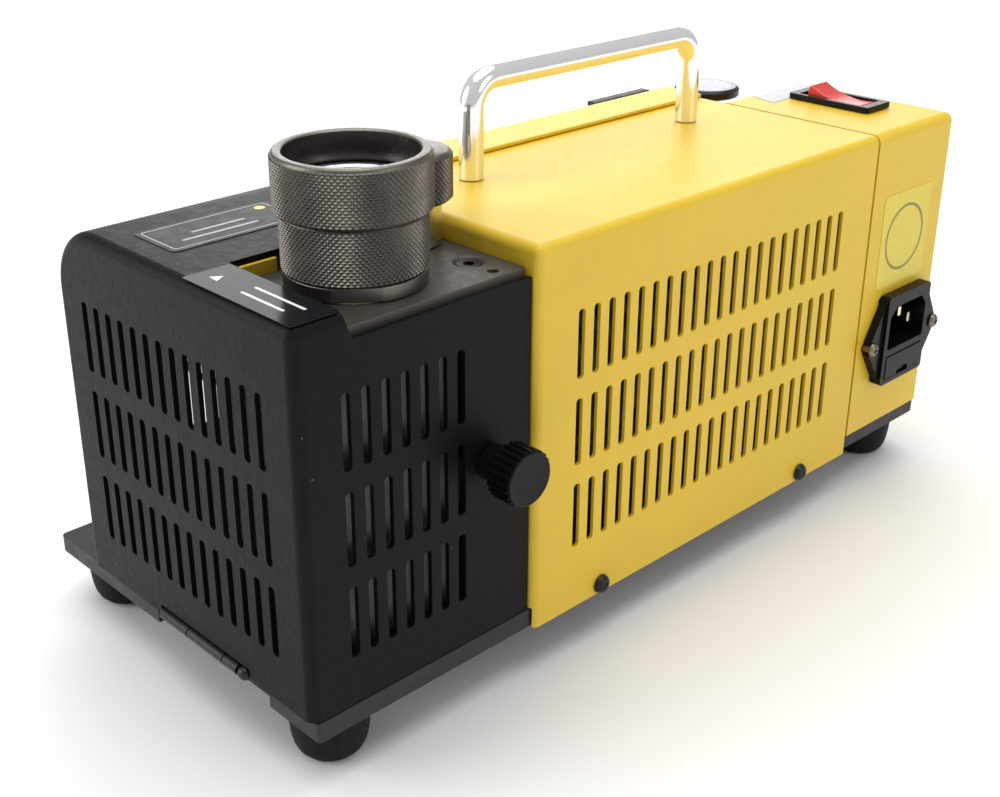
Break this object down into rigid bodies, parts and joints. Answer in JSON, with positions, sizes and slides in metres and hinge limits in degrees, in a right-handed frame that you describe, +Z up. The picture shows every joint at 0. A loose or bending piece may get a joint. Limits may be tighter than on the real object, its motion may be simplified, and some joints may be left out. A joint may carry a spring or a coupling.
{
  "type": "drill bit sharpener",
  "caption": "Bench drill bit sharpener with hinged slotted wheel cover, knurled upright chuck station, carrying handle, mains inlet and rocker switch.",
  "frame": {"origin": "bottom centre of the bounding box, on the bench under the feet", "axes": "+X towards the black grinding cover, -Y towards the operator, +Z up"},
  "size_m": [0.2886, 0.163, 0.1649],
  "materials": {
    "yellow": "fine textured yellow powder coat",
    "cover_black": "fine orange-peel black powder coat",
    "base_grey": "dark grey powder coat",
    "deck_grey": "warm dark grey coat",
    "cast_grey": "satin cast",
    "satin_steel": "satin, diamond knurled grips",
    "bright_steel": "turned bright",
    "chrome": "mirror chrome",
    "rubber": "matt black rubber",
    "black_plastic": "fine grained black",
    "red_plastic": "semi-gloss red",
    "brass": "plated contact",
    "motor_paint": "dark grey paint",
    "wheel_grit": "bonded grit, rough",
    "black_screw": "blackened steel"
  },
  "bodies": {
    "machine": {"angle_base": "base_grey", "base_plate": "base_grey", "carry_handle": "chrome", "chuck_sleeve": "bright_steel", "cover_screw_1": "black_screw", "cover_screw_2": "black_screw", "deck_plate": "deck_grey", "deck_screw": "black_screw", "foot_far_grinding": "rubber", "foot_far_rear": "rubber", "foot_near_grinding": "rubber", "foot_near_rear": "rubber", "foot_screw_far_grinding": "bright_steel", "foot_screw_far_rear": "bright_steel", "foot_screw_near_grinding": "bright_steel", "foot_screw_near_rear": "bright_steel", "front_panel": "yellow", "gauge_bracket": "base_grey", "gauge_post": "bright_steel", "gauge_socket": "satin_steel", "handle_screw_1": "bright_steel", "handle_screw_2": "bright_steel", "hinge_leaf_base": "black_screw", "hinge_pin": "black_screw", "inlet_pin_earth": "brass", "inlet_pin_line": "brass", "inlet_pin_neutral": "brass", "inlet_screw_1": "bright_steel", "inlet_screw_2": "bright_steel", "lock_bracket": "base_grey", "main_cover": "yellow", "mains_inlet": "black_plastic", "motor_body": "motor_paint", "motor_bracket": "base_grey", "motor_front_bell": "motor_paint", "motor_rear_bell": "motor_paint", "rear_box": "yellow", "shaft_front_bearing": "bright_steel", "shaft_rear_bearing": "bright_steel", "station_flange": "satin_steel", "stop_post": "bright_steel", "switch_case": "black_plastic", "wheel_guard": "yellow"},
    "cover": {"grinding_cover": "cover_black", "hinge_leaf_cover": "black_screw"},
    "lock": {"lock_knob": "black_plastic"},
    "lower_ring": {"lower_ring": "satin_steel"},
    "upper_ring": {"upper_ring": "satin_steel"},
    "stop": {"stop_knob": "satin_steel"},
    "rocker": {"switch_rocker": "red_plastic"},
    "drawer": {"fuse_drawer": "black_plastic"},
    "spindle": {"motor_shaft": "bright_steel", "rotor": "bright_steel", "grinding_wheel": "wheel_grit", "wheel_flange": "bright_steel", "wheel_nut": "bright_steel"},
    "holder": {"angle_holder": "cast_grey"},
    "clamp": {"angle_clamp": "black_plastic"},
    "dial": {"gauge_dial": "satin_steel"}
  },
  "joints": [
    {"name": "cover_swing", "type": "hinge", "parent": "machine", "child": "cover", "pos_m": [0.14225, 0.02019, 0.0222], "axis": [0, 1, 0], "range_deg": [0, 100]},
    {"name": "lock_turn", "type": "hinge", "parent": "cover", "child": "lock", "pos_m": [0.08065, 0.06619, 0.0756], "axis": [0, -1, 0], "range_deg": [-360, 0]},
    {"name": "lower_ring_turn", "type": "hinge", "parent": "machine", "child": "lower_ring", "pos_m": [0.10285, 0.04039, 0.1373], "axis": [0, 0, 1], "range_deg": [-60, 60]},
    {"name": "upper_ring_turn", "type": "hinge", "parent": "machine", "child": "upper_ring", "pos_m": [0.10285, 0.04039, 0.1523], "axis": [0, 0, 1], "range_deg": [-90, 90]},
    {"name": "stop_turn", "type": "hinge", "parent": "machine", "child": "stop", "pos_m": [0.07345, 0.02879, 0.1453], "axis": [0, 0, 1], "range_deg": [-180, 180]},
    {"name": "rocker_tip", "type": "hinge", "parent": "machine", "child": "rocker", "pos_m": [-0.12435, 0.03269, 0.1297], "axis": [1, 0, 0], "range_deg": [0, 22]},
    {"name": "drawer_slide", "type": "slide", "parent": "machine", "child": "drawer", "axis": [0, 1, 0], "range_m": [0, 0.016]},
    {"name": "spindle_spin", "type": "hinge", "parent": "machine", "child": "spindle", "pos_m": [0.08265, 0.01969, 0.0733], "axis": [1, 0, 0], "continuous": true},
    {"name": "angle_swivel", "type": "hinge", "parent": "machine", "child": "holder", "pos_m": [0.10165, -0.01831, 0.0413], "axis": [0, 0, 1], "range_deg": [-5, 13]},
    {"name": "clamp_turn", "type": "hinge", "parent": "holder", "child": "clamp", "pos_m": [0.07925, -0.0556, 0.0373], "axis": [0, 0, 1], "range_deg": [0, 180]},
    {"name": "dial_turn", "type": "hinge", "parent": "machine", "child": "dial", "pos_m": [-0.12515, -0.02681, 0.1273], "axis": [0, 0, 1], "range_deg": [-150, 150]}
  ]
}
